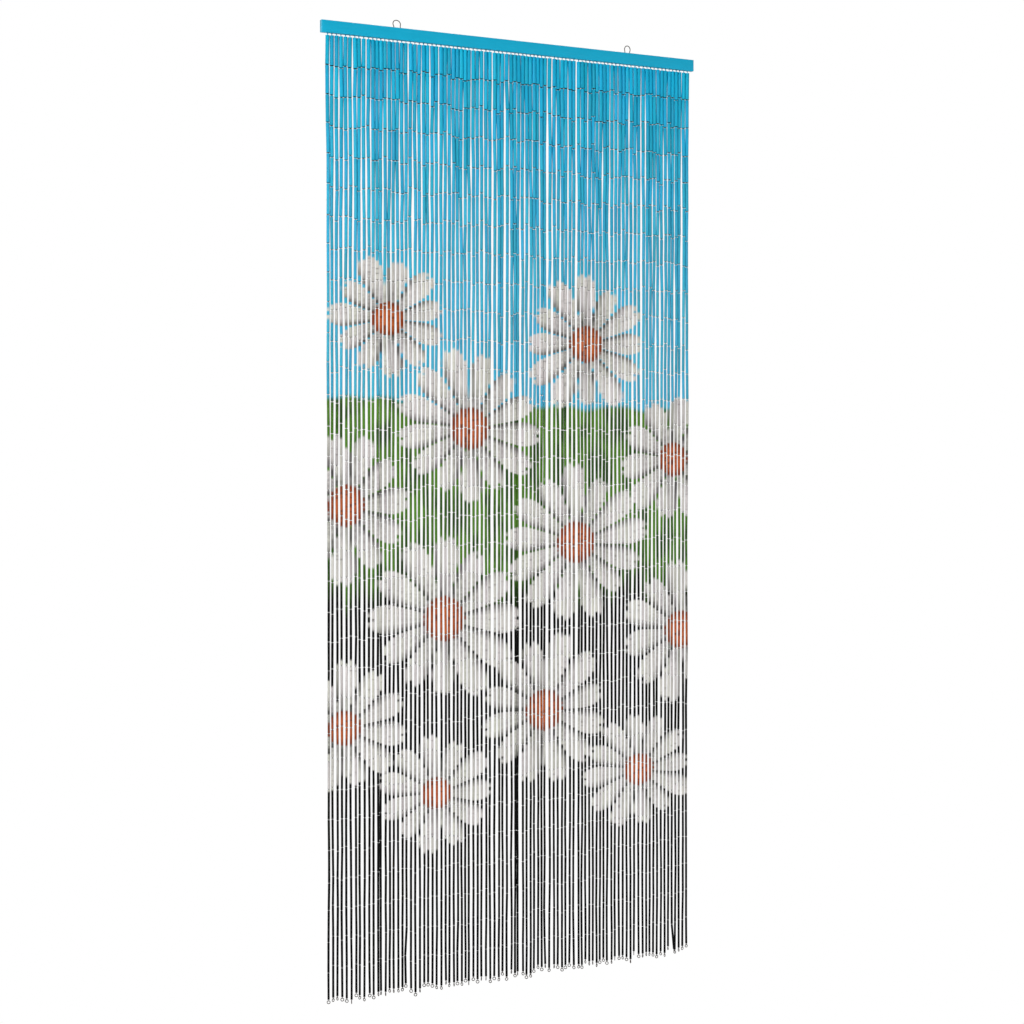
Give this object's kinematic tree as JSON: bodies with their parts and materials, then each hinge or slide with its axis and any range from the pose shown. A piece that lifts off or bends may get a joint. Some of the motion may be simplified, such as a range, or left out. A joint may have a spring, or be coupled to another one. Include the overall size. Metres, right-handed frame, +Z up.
{
  "type": "bamboo door curtain on a headrail",
  "caption": "Door curtain of painted bamboo tube strands with wire end rings, hung from a painted wooden headrail with wire eyes.",
  "frame": {"origin": "middle of the headrail's top face", "axes": "+X along the headrail, +Y towards the wall or frame behind the curtain, +Z up"},
  "size_m": [0.9, 0.0141, 2.0289],
  "materials": {
    "rail_paint": "satin turquoise paint on a sawn lath",
    "bamboo_paint": "satin paint on thin bamboo, sky blue above, green and black below, with white flowers",
    "steel_wire": "drawn wire"
  },
  "bodies": {
    "root": {"headrail": "rail_paint", "eye_left": "steel_wire", "eye_right": "steel_wire", "strands_left": "bamboo_paint", "strands_middle": "bamboo_paint", "strands_right": "bamboo_paint"}
  },
  "joints": []
}
